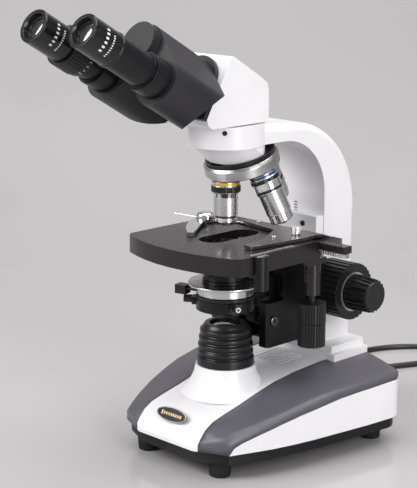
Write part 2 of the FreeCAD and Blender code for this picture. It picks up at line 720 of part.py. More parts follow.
def stage_rail():
    """Black guide for the slide holder, along the rear edge and out past the right side."""
    return box(-63, 91, 40.6, 50, 173.2, 179.2)


def knob_spindle(radius, z0, z1):
    return disc(radius, z0, z1, *KNOB_AT)


def x_knob():
    """Upper stage knob with its hollow shaft and pinion."""
    blank = fluted(11.6, 0.7, 30, 111.2, 127.5)
    blank.translate(V(KNOB_AT[0], KNOB_AT[1], 0))
    shaft = knob_spindle(3, 127, 168)
    pinion = gear(STAGE_PINION_TEETH, 168, 171.6)
    pinion.rotate(V(0, 0, 0), Z_AXIS, -90)
    pinion.translate(V(KNOB_AT[0], KNOB_AT[1], 0))
    return fused([blank, shaft, pinion]).cut(knob_spindle(1.6, 100, 180))


def y_knob():
    """Lower stage knob on the inner shaft."""
    blank = fluted(11.4, 0.7, 30, 91.5, 110.8)
    blank.translate(V(KNOB_AT[0], KNOB_AT[1], 0))
    pinion = gear(STAGE_PINION_TEETH, 171.8, 173)
    pinion.translate(V(KNOB_AT[0], KNOB_AT[1], 0))
    return fused([blank, knob_spindle(1.54, 110, 172), pinion])


def holder_plan():
    return [(40, -20), (49, -21), (57, 34), (57, 52), (-24, 52), (-24, 43), (20, 36),
            (31, 15), (37, 6)]


def slide_holder():
    """Silver angle plate with its fixed arm, rear bar, thin tail and the finger's pin."""
    plate = prism_z(holder_plan(), STAGE_TOP + 0.5, STAGE_TOP + 3.3)
    bar = box(-50, 79, 50.4, 52, 173.6, STAGE_TOP + 3.3)
    tail = [(-20, 43), (-20, 52), (-50, 52), (-59, 36), (-59, 23), (-53, 19), (-45, 22),
            (-41, 38)]
    thin = prism_z(tail, STAGE_TOP + 0.5, STAGE_TOP + 1.9)
    return fused([plate, bar, thin, disc(2, STAGE_TOP + 1, STAGE_TOP + 7, *FINGER_PIVOT)])


def x_rack():
    """Toothed bar below the rail, driven by the upper stage knob, with its end bracket."""
    pitch_r = MODULE * STAGE_PINION_TEETH / 2
    face = KNOB_AT[1] + pitch_r
    bar = box(-4, 87, face + 0.4, face + 3.0, 168.2, 171.6)
    bars = []
    for middle in tooth_places(KNOB_AT[0], -4, 86):
        points = [(middle - 0.6, face + 0.5), (middle - 0.3, face - 0.25),
                  (middle + 0.3, face - 0.25), (middle + 0.6, face + 0.5)]
        bars.append(prism_z(points, 168.2, 171.6))
    hanger = box(83, 87, face + 0.4, 52, 168.2, 171.6)
    riser = box(83, 87, 50.4, 52, 171.0, 176)
    return fused([bar, hanger, riser] + bars)


def thumb_screws():
    """Knurled screw of the slide holder and two small screws beside it."""
    top = STAGE_TOP + 3.32
    head = fluted(4.3, 0.4, 18, top + 1.2, top + 6.6)
    head.translate(V(*THUMB_AT, 0))
    screws = [fused([head, disc(2.6, top, top + 1.4, *THUMB_AT)])]
    screws += [disc(2.1, top, top + 1.3, x, y) for x, y in ((39, 15), (-8, 46.5))]
    return Part.makeCompound(screws)


def slide_finger():
    """Sprung arm that presses a slide against the fixed arm, with its cap and lever."""
    outline = [(-58, 31), (-58, 24), (-54, 12), (-47, 2), (-39.5, -6.5), (-30, -16),
               (-20.5, -23.5), (-16.5, -21), (-23, -11), (-32.5, 2), (-39, 11), (-43.5, 22),
               (-45, 31), (-52, 34.5)]
    low = STAGE_TOP + 2.2
    blade = prism_z(outline, low, low + 1.7)
    tip = prism_z([(-24.5, -20.5), (-20.5, -23.5), (-16.5, -21), (-20.5, -15)],
                  STAGE_TOP + 0.5, low + 0.1)
    x, y = FINGER_PIVOT
    cap = turned([(0, low + 1.6), (7.8, low + 1.6), (7.8, low + 3.6), (7.2, low + 5.2),
                  (5.4, low + 6.5), (3, low + 7.1), (0, low + 7.2)], x, y)
    lever = rod((x - 4, y - 1, low + 1), (x - 33, y - 4, low + 1), 0.6)
    pin = disc(2 + RUNNING, STAGE_TOP, STAGE_TOP + 7.1, x, y)
    return fused([blade, tip, cap, lever]).cut(pin)


# ---- condenser ----------------------------------------------------------------------------

def condenser_carrier():
    """Ring, rear bracket and the toothed slide between the carriage cheeks."""
    hoop = disc(24.4, 120.5, 129.6)
    bracket = box(-9, 9, 18, 40, 123.6, 129.3)
    slide = box(-11.8, 11.8, 38.7, 45.9, 98, 142)
    ears = [rod_at(angle, 21.5, 27.6, SCREW_Z, 5.0).common(disc(60, 120.5, 129.6))
            for angle in SCREW_ANGLES]
    body = fused([hoop, bracket, slide] + ears).cut(disc(21.3, 110, 140))
    for angle in SCREW_ANGLES:
        body = body.cut(rod_at(angle, 15, 40, SCREW_Z, 1.7))
    teeth = rack_teeth(PINION_AT[1], 99, 141, 38.7, 0.7, -4, 4, -1)
    return body.multiFuse(teeth)


def rod_at(angle, r0, r1, z, radius):
    """Horizontal cylinder that points away from the optical axis."""
    a = math.radians(angle)
    return rod((r0 * math.cos(a), r0 * math.sin(a), z), (r1 * math.cos(a), r1 * math.sin(a), z),
               radius)


def centring_screws():
    screws = [fused([rod_at(angle, 21.4, 28, SCREW_Z, 1.65),
                     rod_at(angle, 27.65, 34.5, SCREW_Z, 3.2)]) for angle in SCREW_ANGLES]
    return Part.makeCompound(screws)


def condenser_barrel():
    """Bright cylinder with its wide flange."""
    profile = [(19.6, 120.7), (21.2, 120.7), (21.2, 133), (23.8, 133.2), (23.8, 140.4),
               (29.8, 140.4), (30.9, 141.2), (30.9, 142.6), (30.2, 143), (16, 143),
               (16, 136), (19.6, 134)]
    return turned(profile)


def condenser_neck():
    profile = [(12, 143.02), (19.2, 143.02), (19.2, 145.5), (18.5, 146), (18.5, 160),
               (14.5, 166), (10.8, 169.5), (10.8, 176), (9.4, 176), (9.4, 172), (12, 150)]
    return turned(profile)


def condenser_lens():
    return turned([(0, 172.2), (9.3, 172.2), (9.3, 174.6), (0, 175.8)])


def iris_lever():
    hoop = ring(24.2, 21.26, 129.9, 132.7)
    arm_bar = rod_box(194, 22.5, 40, 130.8, 132.5, 2.4)
    grip = rod_box(194, 36.5, 46.8, 127, 134.6, 4.2)
    return fused([hoop, arm_bar, grip]).cut(disc(21.26, 120, 140))


def rod_box(angle, r0, r1, z0, z1, half):
    """Bar that points away from the optical axis."""
    bar = box(r0, r1, -half, half, z0, z1)
    bar.rotate(V(0, 0, 0), Z_AXIS, angle)
    return bar


def condenser_knob():
    """Left-hand knob, shaft and pinion that raise the condenser."""
    shaft = disc(CONDENSER_SHAFT_R, -40, 23)
    pinion = gear(CONDENSER_TEETH, -5, 5)
    pinion.rotate(V(0, 0, 0), Z_AXIS, -90)
    knob = fluted(11.5, 0.8, 26, -41, -24.5)
    cap = disc(4.0, 22.3, 23.8)
    return lay_along_x(fused([shaft, pinion, knob, cap]), *PINION_AT)


# ---- focus knobs --------------------------------------------------------------------------

def coarse_shaft():
    tube = ring(COARSE_SHAFT_R, FINE_SHAFT_R + RUNNING, -COARSE_X[0] - 6, COARSE_X[0] + 6)
    pinion = gear(FOCUS_TEETH, -6, 6).cut(disc(FINE_SHAFT_R + RUNNING, -10, 10))
    return lay_along_x(fused([tube, pinion]), FOCUS_Y, FOCUS_Z)


def coarse_knob(side):
    """Large fluted knob; the right-hand one carries the hollow shaft and its pinion."""
    blank = fluted(COARSE_R, 1.1, 32, COARSE_X[0], COARSE_X[1])
    blank = blank.cut(disc(FINE_SHAFT_R + 0.3, 0, 70))
    knob = lay_along_x(blank, FOCUS_Y, FOCUS_Z)
    if side > 0:
        return fused([knob, coarse_shaft()])
    hub = disc(COARSE_SHAFT_R + 0.01, COARSE_X[0] - 1, COARSE_X[0] + 6.02)
    return mirrored_x(knob.cut(lay_along_x(hub, FOCUS_Y, FOCUS_Z)))


def fine_knob(side):
    """Tapered fluted knob; the right-hand one carries the shaft."""
    wide = fluted(14.0, 1.0, 20, FINE_X[0], FINE_X[1])
    cone = turned([(0, FINE_X[0] - 1), (14.6, FINE_X[0] - 1), (12.6, FINE_X[1] - 1),
                   (11.8, FINE_X[1]), (0, FINE_X[1])])
    body = wide.common(cone)
    if side > 0:
        body = fused([body, disc(FINE_SHAFT_R, -FINE_X[0] - 8, FINE_X[0] + 1)])
        return lay_along_x(body, FOCUS_Y, FOCUS_Z)
    body = body.cut(disc(FINE_SHAFT_R + 0.01, 0, FINE_X[0] + 8.02))
    return mirrored_x(lay_along_x(body, FOCUS_Y, FOCUS_Z))


# ---- mains lead ---------------------------------------------------------------------------

def strain_relief():
    """Gland in the base's rear pad, tapering to the cord."""
    x, y, z = CORD_EXIT
    face = GLAND_FACE + 0.02
    profile = [(0, 118), (5, 118), (5, face), (7, face), (7, face + 2), (4.9, face + 3), (3.1, y),
               (0, y)]
    wire = Part.makePolygon([V(x + r, along, z) for r, along in profile + profile[:1]])
    return Part.Face(wire).revolve(V(x, 0, z), V(0, 1, 0), 360)


def round_route(points):
    """Straight runs joined by tangent arcs; returns the wire, its length and the radii."""
    pts = [V(*p) for p in points]
    edges = []
    radii = []
    at = pts[0]
    for before, corner, after in zip(pts, pts[1:], pts[2:]):
        into = (corner - before).normalize()
        out = (after - corner).normalize()
        run = min(corner.distanceToPoint(before), corner.distanceToPoint(after))
        turn = into.getAngle(out)
        back = 0.45 * run
        radii.append(back / math.tan(turn / 2))
        start = corner - into * back
        end = corner + out * back
        bulge = (out - into).normalize()
        reach = radii[-1] / math.cos(turn / 2) - radii[-1]
        edges.append(Part.LineSegment(at, start).toShape())
        edges.append(Part.Arc(start, corner + bulge * reach, end).toShape())
        at = end
    edges.append(Part.LineSegment(at, pts[-1]).toShape())
    return Part.Wire(edges), radii


def cord_tube():
    wire, radii = round_route(CORD_ROUTE)
    first = V(*CORD_ROUTE[1]) - V(*CORD_ROUTE[0])
    section = Part.Wire(Part.makeCircle(CORD_D / 2, V(*CORD_ROUTE[0]), first))
    tube = wire.makePipeShell([section], True, False, 2)
    ideal = math.pi * CORD_D ** 2 / 4 * wire.Length
    print("cord arc radii", [round(r, 1) for r in radii])
    print("cord length %.0f, volume / ideal %.4f" % (wire.Length, tube.Volume / ideal))
    return tube


def cord_coil():
    """Outer shape of the put-away turns."""
    inner = COIL_R - CORD_D - 0.3
    outer = COIL_R + CORD_D + 0.3
    low = LAID - CORD_D / 2
    top = COIL_TURNS / 2 * CORD_D + 0.3
    return turned([(inner, low + 1), (inner + 1, low), (outer - 1, low), (outer, low + 1),
                   (outer, top - 2), (outer - 2, top), (inner + 2, top), (inner, top - 2)],
                  *COIL_AT)


def plug():
    """Moulded two-pin plug resting on the coil."""
    x, y = COIL_AT
    low = COIL_TURNS / 2 * CORD_D + 0.32
    body = box(x - 6, x + 20, y - 9, y + 9, low, low + 13)
    body = body.makeFillet(2.5, [e for e in body.Edges if abs(e.Length - 26) < 0.1])
    pins = [rod((x + 20, y + s * 6, low + 6.5), (x + 38, y + s * 6, low + 6.5), 2.0)
            for s in (-1, 1)]
    tail = Part.makeCone(5.5, 2.9, 22, V(x - 6, y, low + 6.5), V(-1, 0, 0))
    return fused([body, tail] + pins)


# ---- writing ------------------------------------------------------------------------------

CORD_NODES = ("strain_relief", "cord_tube", "cord_coil", "plug")


def build_nodes():
    shell = base_shell()
    region = wing_region()
    wing = shell.common(region).cut(pedestal())
    nodes = {
        "base_cover": base_cover(shell, region),
        "right_wing": wing,
        "left_wing": mirrored_x(wing),
        "bottom_plate": bottom_plate(),
        "rubber_feet": rubber_feet(),
        "badge": badge(),
        "lamp_collector": lamp_collector(),
        "field_lens": field_lens(),
        "halogen_bulb": halogen_bulb(),
        "transformer": transformer(),
        "dimmer_dial": dimmer_dial(),
        "power_switch": power_switch(),
        "arm": arm(),
        "frame_screws": frame_screws(),
        "guide_rails": guide_rails(),
        "guide_cover": guide_cover(),
        "turret_dome": turret_dome(),
        "nosepiece_plate": nosepiece_plate(),
        "turret": turret(),
        "head_body": head_body(),
        "hinge_spindle": hinge_spindle(),
        "right_housing": right_housing(),
        "left_housing": left_housing(),
        "right_tube": eye_tube(1, 262.5),
        "left_tube": eye_tube(-1, 262.5),
        "diopter_ring": diopter_ring(),
        "right_eyepiece": eyepiece(1),
        "left_eyepiece": eyepiece(-1),
        "right_eye_lens": eye_lens(1),
        "left_eye_lens": eye_lens(-1),
        "focus_carriage": focus_carriage(),
        "lower_stage": lower_stage(),
        "vernier_post": vernier_post(),
        "upper_stage": upper_stage(),
        "stage_rail": stage_rail(),
        "x_knob": x_knob(),
        "y_knob": y_knob(),
        "slide_holder": slide_holder(),
        "x_rack": x_rack(),
        "thumb_screws": thumb_screws(),
        "slide_finger": slide_finger(),
        "condenser_carrier": condenser_carrier(),
        "centring_screws": centring_screws(),
        "condenser_barrel": condenser_barrel(),
        "condenser_neck": condenser_neck(),
        "condenser_lens": condenser_lens(),
        "iris_lever": iris_lever(),
        "condenser_knob": condenser_knob(),
        "coarse_knob_right": coarse_knob(1),
        "coarse_knob_left": coarse_knob(-1),
        "fine_knob_right": fine_knob(1),
        "fine_knob_left": fine_knob(-1),
        "strain_relief": strain_relief(),
        "cord_tube": cord_tube(),
        "cord_coil": cord_coil(),
        "plug": plug(),
    }
    for name, (quarter, profile) in OBJECTIVES.items():
        nodes[name] = objective(quarter, profile)
    return nodes


def centre_shift(nodes):
    """How far along Y the bounding box's middle is from the optical axis, turned round."""
    own = [shape.optimalBoundingBox(False, False) for name, shape in nodes.items()
           if name not in CORD_NODES]
    return -(min(b.YMin for b in own) + max(b.YMax for b in own)) / 2


def write_nodes(nodes):
    os.makedirs("parts", exist_ok=True)
    shift = centre_shift(nodes)
    print("optical axis at y = %.3f" % shift)
    for name, shape in nodes.items():
        shape.translate(V(0, shift, 0))
        shape.exportStep("parts/%s.step" % name)


write_nodes(build_nodes())
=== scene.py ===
"""Looks of the binocular microscope: camera, light, floor, materials, cord and fine detail."""
import json
import math

import bmesh
import bpy
from mathutils import Matrix, Vector


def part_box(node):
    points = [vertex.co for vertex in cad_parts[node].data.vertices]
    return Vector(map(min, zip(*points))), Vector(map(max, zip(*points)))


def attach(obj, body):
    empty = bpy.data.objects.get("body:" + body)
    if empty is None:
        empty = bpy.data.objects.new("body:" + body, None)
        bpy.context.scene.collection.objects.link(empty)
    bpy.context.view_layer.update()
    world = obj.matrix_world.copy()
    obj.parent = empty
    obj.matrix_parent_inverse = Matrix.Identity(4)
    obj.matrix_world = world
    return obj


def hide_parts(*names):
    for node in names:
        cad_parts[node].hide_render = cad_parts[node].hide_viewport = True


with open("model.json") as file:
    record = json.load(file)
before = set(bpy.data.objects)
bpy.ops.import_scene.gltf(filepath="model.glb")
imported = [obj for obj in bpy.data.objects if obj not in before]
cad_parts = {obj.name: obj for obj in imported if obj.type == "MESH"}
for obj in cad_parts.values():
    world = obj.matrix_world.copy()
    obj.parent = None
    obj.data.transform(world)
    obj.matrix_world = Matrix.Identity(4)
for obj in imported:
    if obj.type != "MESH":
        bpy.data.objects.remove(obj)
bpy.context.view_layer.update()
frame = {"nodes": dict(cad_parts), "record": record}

MM = 0.001
RECORD = frame["record"]
BODY_OF = {n: b for b, nodes in RECORD["behaviour"]["bodies"].items() for n in nodes}
JOINTS = {j["name"]: j for j in RECORD["behaviour"]["joints"]}

# The optical axis is vertical, through the middle of the condenser's lens. Places below are in
# millimetres from its foot on the table: x to the right, y away from the user, z up.
AXIS = Vector((0.0, sum(corner.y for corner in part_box("condenser_lens")) / 2, 0.0))


def at(x, y, z):
    """Point in metres from millimetres, counted from the foot of the optical axis."""
    return AXIS + Vector((x, y, z)) * MM


def corners(node):
    """Low and high corner of a part's box, in millimetres from the foot of the axis."""
    return [(corner - AXIS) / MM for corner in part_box(node)]


def middle(node):
    low, high = corners(node)
    return (low + high) / 2


def pivot(joint):
    """Place of a hinge, in millimetres from the foot of the axis."""
    return (Vector(JOINTS[joint]["pos_m"]) - AXIS) / MM


# ---- camera, light and floor ---------------------------------------------------------------

AZIMUTH = math.radians(45.5)        # of the camera, from the user's side to the right
ELEVATION = math.radians(13.2)
CAMERA_DISTANCE = 1217.7
CAMERA_TARGET = (-9.8, -10.0, 173.7)
LENS = 110.84
# the rest of this section is in metres
FLOOR_FRONT = 9.0
FLOOR_HALF = 8.0
SWEEP_START = 0.55
SWEEP_RADIUS = 1.2
SWEEP_STEPS = 12
BACKDROP_TOP = 4.0


def make_camera():
    """Camera to the front right, a little above the stage, with a long lens."""
    back = Vector((math.sin(AZIMUTH) * math.cos(ELEVATION),
                   -math.cos(AZIMUTH) * math.cos(ELEVATION), math.sin(ELEVATION)))
    data = bpy.data.cameras.new("camera")
    data.lens = LENS
    data.sensor_width = 36
    data.clip_start = 0.05
    data.clip_end = 50
    camera = bpy.data.objects.new("camera", data)
    camera.location = at(*CAMERA_TARGET) + back * CAMERA_DISTANCE * MM
    camera.rotation_euler = (-back).to_track_quat("-Z", "Y").to_euler()
    bpy.context.scene.collection.objects.link(camera)
    bpy.context.scene.camera = camera


def area_light(name, place, size, power):
    """Soft box at a place in metres, aimed at the stage."""
    data = bpy.data.lights.new(name, "AREA")
    data.shape = "RECTANGLE"
    data.size, data.size_y = size
    data.energy = power
    light = bpy.data.objects.new(name, data)
    light.location = place
    light.rotation_euler = (at(0, 0, 180) - light.location).to_track_quat("-Z", "Y").to_euler()
    bpy.context.scene.collection.objects.link(light)


def make_lights():
    """Soft boxes on both sides of the camera, one above, and an even pale surround."""
    area_light("key", (-0.75, -1.5, 1.25), (1.2, 1.2), 40)
    area_light("fill", (1.7, -0.35, 0.7), (0.7, 1.5), 24)
    area_light("top", (0.2, 0.35, 1.9), (1.6, 1.6), 34)
    world = bpy.data.worlds.new("surround")
    world.use_nodes = True
    sky = world.node_tree.nodes["Background"]
    sky.inputs["Color"].default_value = (0.80, 0.79, 0.80, 1)
    sky.inputs["Strength"].default_value = 0.45
    bpy.context.scene.world = world
    bpy.context.scene.view_settings.view_transform = "Standard"


def make_floor():
    """Pale table that curves up into a backdrop behind the microscope."""
    away = Vector((-math.sin(AZIMUTH), math.cos(AZIMUTH), 0))
    side = Vector((math.cos(AZIMUTH), math.sin(AZIMUTH), 0))
    profile = [(-FLOOR_FRONT, 0.0), (SWEEP_START, 0.0)]
    for step in range(1, SWEEP_STEPS + 1):
        turn = math.pi / 2 * step / SWEEP_STEPS
        profile.append((SWEEP_START + SWEEP_RADIUS * math.sin(turn),
                        SWEEP_RADIUS * (1 - math.cos(turn))))
    profile.append((SWEEP_START + SWEEP_RADIUS, BACKDROP_TOP))
    mesh = bpy.data.meshes.new("floor")
    rows = [[away * d + side * w + Vector((0, 0, h)) for w in (-FLOOR_HALF, FLOOR_HALF)]
            for d, h in profile]
    points = [p for row in rows for p in row]
    faces = [(2 * i, 2 * i + 1, 2 * i + 3, 2 * i + 2) for i in range(len(rows) - 1)]
    mesh.from_pydata(points, [], faces)
    mesh.shade_smooth()
    floor = bpy.data.objects.new("floor", mesh)
    bpy.context.scene.collection.objects.link(floor)
    floor.data.materials.append(floor_material())


def floor_material():
    """Smooth pale sheet with a faint unevenness; from behind, it is seen through."""
    material, nodes, links, shader = new_material("floor")
    broad = noise(nodes, links, 3, 2.0)
    links.new(ramp(nodes, links, broad, (0.385, 0.371, 0.378), (0.40, 0.386, 0.393)),
              shader.inputs["Base Color"])
    shader.inputs["Roughness"].default_value = 0.14
    shader.inputs["Specular IOR Level"].default_value = 0.65
    side = nodes.new("ShaderNodeNewGeometry")
    clear = nodes.new("ShaderNodeBsdfTransparent")
    mix = nodes.new("ShaderNodeMixShader")
    links.new(side.outputs["Backfacing"], mix.inputs["Fac"])
    links.new(shader.outputs["BSDF"], mix.inputs[1])
    links.new(clear.outputs["BSDF"], mix.inputs[2])
    links.new(mix.outputs["Shader"], nodes["Material Output"].inputs["Surface"])
    return material


# ---- materials -----------------------------------------------------------------------------

def new_material(name):
    """Material with its nodes, its links and its main shader."""
    material = bpy.data.materials.new(name)
    material.use_nodes = True
    nodes = material.node_tree.nodes
    return material, nodes, material.node_tree.links, nodes["Principled BSDF"]


def noise(nodes, links, scale, detail, stretch=(1, 1, 1)):
    """Noise in the object's own coordinates; scale counts features per metre."""
    place = nodes.new("ShaderNodeTexCoord")
    mapping = nodes.new("ShaderNodeMapping")
    mapping.inputs["Scale"].default_value = stretch
    texture = nodes.new("ShaderNodeTexNoise")
    texture.inputs["Scale"].default_value = scale
    texture.inputs["Detail"].default_value = detail
    links.new(place.outputs["Object"], mapping.inputs["Vector"])
    links.new(mapping.outputs["Vector"], texture.inputs["Vector"])
    return texture.outputs["Fac"]


def ramp(nodes, links, source, low, high):
    """Colour or grey that goes from low to high with the source."""
    node = nodes.new("ShaderNodeValToRGB")
    for element, place, value in zip(node.color_ramp.elements, (0.3, 0.7), (low, high)):
        element.position = place
        element.color = (*value, 1) if isinstance(value, tuple) else (value, value, value, 1)
    links.new(source, node.inputs["Fac"])
    return node.outputs["Color"]


def finish_material(name, low, high, rough, metallic=0.0, grain=900, depth=0.00002,
                    coat=0.0, specular=0.5, stretch=(1, 1, 1), rounding=0.0):
    """Paint, plastic or metal: mottled colour, uneven gloss and a fine grain.

    low and high are the two tones of the colour, and rough the range of the roughness. With a
    rounding, in metres, broad edges are shaded as if they were rounded.
    """
    material, nodes, links, shader = new_material(name)
    broad = noise(nodes, links, 35, 4.0)
    fine = noise(nodes, links, grain, 2.0, stretch)
    links.new(ramp(nodes, links, broad, low, high), shader.inputs["Base Color"])
    links.new(ramp(nodes, links, fine, rough[0], rough[1]), shader.inputs["Roughness"])
    bump = nodes.new("ShaderNodeBump")
    bump.inputs["Strength"].default_value = 0.35
    bump.inputs["Distance"].default_value = depth
    links.new(fine, bump.inputs["Height"])
    links.new(bump.outputs["Normal"], shader.inputs["Normal"])
    if rounding:
        rounded = nodes.new("ShaderNodeBevel")
        rounded.samples = 8
        rounded.inputs["Radius"].default_value = rounding
        links.new(rounded.outputs["Normal"], bump.inputs["Normal"])
    shader.inputs["Metallic"].default_value = metallic
    shader.inputs["Coat Weight"].default_value = coat
    shader.inputs["Coat Roughness"].default_value = 0.12
    shader.inputs["Specular IOR Level"].default_value = specular
    return material


def make_materials():
    """One material per finish, keyed by a short name."""
    made = {
        "white": finish_material("white_enamel", (0.735, 0.728, 0.745), (0.765, 0.758, 0.775),
                                 (0.28, 0.36), grain=420, depth=0.00001, coat=0.2),
        "grey": finish_material("grey_enamel", (0.078, 0.075, 0.091), (0.092, 0.088, 0.105),
                                (0.30, 0.40), grain=700, depth=0.00001, rounding=0.008),
        "black": finish_material("black_enamel", (0.005, 0.0048, 0.0055),
                                 (0.009, 0.0086, 0.0096), (0.26, 0.36), grain=800,
                                 depth=0.00001, specular=0.27),
        "satin": finish_material("satin_black", (0.014, 0.0135, 0.015), (0.021, 0.020, 0.022),
                                 (0.38, 0.48), grain=1400, depth=0.00001, specular=0.36),
        "stage_black": finish_material("stage_enamel", (0.008, 0.0064, 0.0068),
                                       (0.013, 0.0104, 0.0110), (0.22, 0.30), grain=900,
                                       depth=0.000004, specular=0.46),
        "plastic": finish_material("black_plastic", (0.006, 0.006, 0.0068),
                                   (0.011, 0.011, 0.012), (0.26, 0.38), grain=1500,
                                   depth=0.00001, specular=0.38),
        "gloss": finish_material("gloss_black", (0.006, 0.006, 0.0065), (0.010, 0.010, 0.011),
                                 (0.16, 0.26), grain=900, depth=0.00001, specular=0.4),
        "rubber": finish_material("rubber", (0.008, 0.008, 0.008), (0.014, 0.014, 0.014),
                                  (0.6, 0.8), grain=1800, depth=0.00005, specular=0.25),
        "cord": finish_material("cord_sheath", (0.010, 0.010, 0.0105), (0.018, 0.017, 0.018),
                                (0.28, 0.4), grain=700, depth=0.00003, specular=0.4),
        "chrome": finish_material("chrome", (0.74, 0.74, 0.75), (0.82, 0.82, 0.83),
                                  (0.06, 0.12), metallic=1.0, grain=1200, depth=0.00001),
        "steel": finish_material("satin_steel", (0.44, 0.43, 0.43), (0.54, 0.53, 0.53),
                                 (0.26, 0.36), metallic=1.0, grain=500, depth=0.00001),
        "plate": finish_material("dark_nickel", (0.15, 0.14, 0.14), (0.21, 0.20, 0.20),
                                 (0.26, 0.36), metallic=1.0, grain=700, depth=0.00001),
        "silver": finish_material("turned_aluminium", (0.60, 0.60, 0.60), (0.68, 0.68, 0.67),
                                  (0.22, 0.30), metallic=1.0, grain=160, depth=0.000002,
                                  stretch=(1, 1, 9)),
        "gunmetal": finish_material("blackened_steel", (0.03, 0.03, 0.032),
                                    (0.05, 0.05, 0.053), (0.3, 0.4), metallic=0.8),
        "yellow": finish_material("yellow_ring", (0.66, 0.38, 0.03), (0.78, 0.48, 0.06),
                                  (0.2, 0.3), metallic=0.5),
        "blue": finish_material("blue_ring", (0.03, 0.07, 0.19), (0.04, 0.10, 0.25),
                                (0.2, 0.3), metallic=0.5),
        "red": finish_material("red_ring", (0.45, 0.02, 0.02), (0.55, 0.03, 0.03), (0.3, 0.4)),
        "mark": finish_material("white_marks", (0.66, 0.66, 0.66), (0.78, 0.78, 0.78),
                                (0.5, 0.6)),
        "grey_mark": finish_material("grey_marks", (0.10, 0.10, 0.11), (0.15, 0.15, 0.16),
                                     (0.5, 0.6)),
        "bronze": finish_material("bronze_marks", (0.46, 0.30, 0.13), (0.60, 0.41, 0.19),
                                  (0.25, 0.4), metallic=0.8),
    }
    made["glass"] = glass_material()
    return made


def glass_material():
    """Coated lens as an opaque dark surface with a clear coat: the dark base is painted shade for
    the dark inside seen through the glass.
    """
    material, nodes, links, shader = new_material("coated_glass")
    fine = noise(nodes, links, 300, 1.0)
    links.new(ramp(nodes, links, fine, 0.01, 0.03), shader.inputs["Roughness"])
    # painted shade: the near-black base stands for the dark inside behind the glass; the coat
    # gives the reflections
    shader.inputs["Base Color"].default_value = (0.014, 0.015, 0.018, 1)
    shader.inputs["IOR"].default_value = 1.7
    shader.inputs["Coat Weight"].default_value = 1.0
    shader.inputs["Coat Roughness"].default_value = 0.02
    return material


# ---- carried-over parts, with eased edges ---------------------------------------------------

FINISH = {
    "white": "base_cover arm turret_dome head_body guide_cover",
    "grey": "left_wing right_wing",
    "black": "bottom_plate guide_rails nosepiece_plate focus_carriage lower_stage vernier_post"
             " condenser_carrier condenser_neck right_tube left_tube",
    "satin": "right_housing left_housing hinge_spindle",
    "stage_black": "upper_stage stage_rail",
    "plastic": "lamp_collector dimmer_dial power_switch diopter_ring coarse_knob_right"
               " coarse_knob_left fine_knob_right fine_knob_left x_knob y_knob condenser_knob"
               " iris_lever centring_screws",
    "gloss": "right_eyepiece left_eyepiece badge",
    "rubber": "rubber_feet",
    "cord": "strain_relief plug",
    "chrome": "thumb_screws slide_finger",
    "gunmetal": "frame_screws",
    "plate": "slide_holder",
    "steel": "x_rack turret transformer",
    "silver": "condenser_barrel objective_4x objective_10x objective_40x objective_100x",
    "glass": "field_lens halogen_bulb right_eye_lens left_eye_lens condenser_lens",
}
# parts whose edges show bare metal
BRIGHT_EDGES = ("slide_holder", "turret")
# edges that turn by more than this are eased, and faces that turn by less are joined
EASE_FROM = math.radians(32)
JOIN_BELOW = math.radians(0.6)
# radius in millimetres by which each part's edges are eased; the others get EASE
EASE = 0.35
EASED = {"base_cover": 1.4, "head_body": 2.6, "arm": 0.9, "turret_dome": 0.9, "left_wing": 1.0,
         "right_wing": 1.0, "guide_cover": 1.2, "upper_stage": 1.2, "right_housing": 1.3,
         "left_housing": 1.3, "focus_carriage": 0.9, "lamp_collector": 0.5, "rubber_feet": 0.6,
         "coarse_knob_right": 0.45, "coarse_knob_left": 0.45, "strain_relief": 0.4}


def link_object(name, mesh, material, node):
    """New piece in the scene that rides with the node's body."""
    piece = bpy.data.objects.new(name, mesh)
    bpy.context.scene.collection.objects.link(piece)
    mesh.materials.clear()
    mesh.materials.append(material)
    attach(piece, BODY_OF[node])
    return piece


def ease_edges(node, material, radius):
    """Copy of a CAD part as clean faces with eased edges and smooth shading."""
    mesh = frame["nodes"][node].data.copy()
    mesh.name = node + "_skin"
    work = bmesh.new()
    work.from_mesh(mesh)
    bmesh.ops.remove_doubles(work, verts=work.verts, dist=1e-6)
    bmesh.ops.dissolve_limit(work, angle_limit=JOIN_BELOW, verts=work.verts,
                             edges=work.edges, delimit={"NORMAL"})
    work.to_mesh(mesh)
    work.free()
    mesh.shade_smooth()
    piece = link_object(node + "_skin", mesh, material, node)
    bevel = piece.modifiers.new("ease", "BEVEL")
    bevel.width = radius * MM
    bevel.segments = 2
    bevel.limit_method = "ANGLE"
    bevel.angle_limit = EASE_FROM
    bevel.harden_normals = True
    bevel.use_clamp_overlap = True
    if node in BRIGHT_EDGES:
        mesh.materials.append(bpy.data.materials["chrome"])
        bevel.material = 1
    weighted = piece.modifiers.new("normals", "WEIGHTED_NORMAL")
    weighted.keep_sharp = True
    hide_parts(node)


def dress_parts(materials):
    """Every solid of the CAD, in its finish."""
    for key, names in FINISH.items():
        for node in names.split():
            ease_edges(node, materials[key], EASED.get(node, EASE))


# ---- mains lead ------------------------------------------------------------------------------

CORD_D = 5.2
LAID = 2.7                          # height of the lead's middle where it lies on the table
COIL_AT = (-12.0, 174.0)
COIL_R = 28.0
CORD_ROUTE = ((-58.0, 150.0, 30.0), (-58.0, 168.0, 30.0), (-60.0, 187.0, 12.0),
              (-64.0, 207.0, LAID), (-78.0, 236.0, LAID), (-88.0, 264.0, LAID),
              (-84.0, 294.0, LAID), (-70.0, 322.0, LAID), (-46.0, 343.0, LAID),
              (-18.0, 346.0, LAID), (-4.0, 328.0, LAID), (-15.0, 303.0, LAID),
              (-29.0, 274.0, LAID), (-42.0, 246.0, LAID), (-44.0, 216.0, LAID),
              (-41.0, 190.0, LAID))
# outer (1) or inner (-1) place of each turn; two turns lie side by side in every layer
TURN_SIDES = (1, -1, -1, 1, 1, -1)
PER_TURN = 16
# from the coil's top up to the tail of the plug that rests on it
LEAD_UP = ((-28.0, 200.0, 14.0), (-42.0, 195.0, 17.5), (-49.0, 185.0, 21.5),
           (-47.5, 176.5, 22.4), (-40.0, 174.0, 22.4))


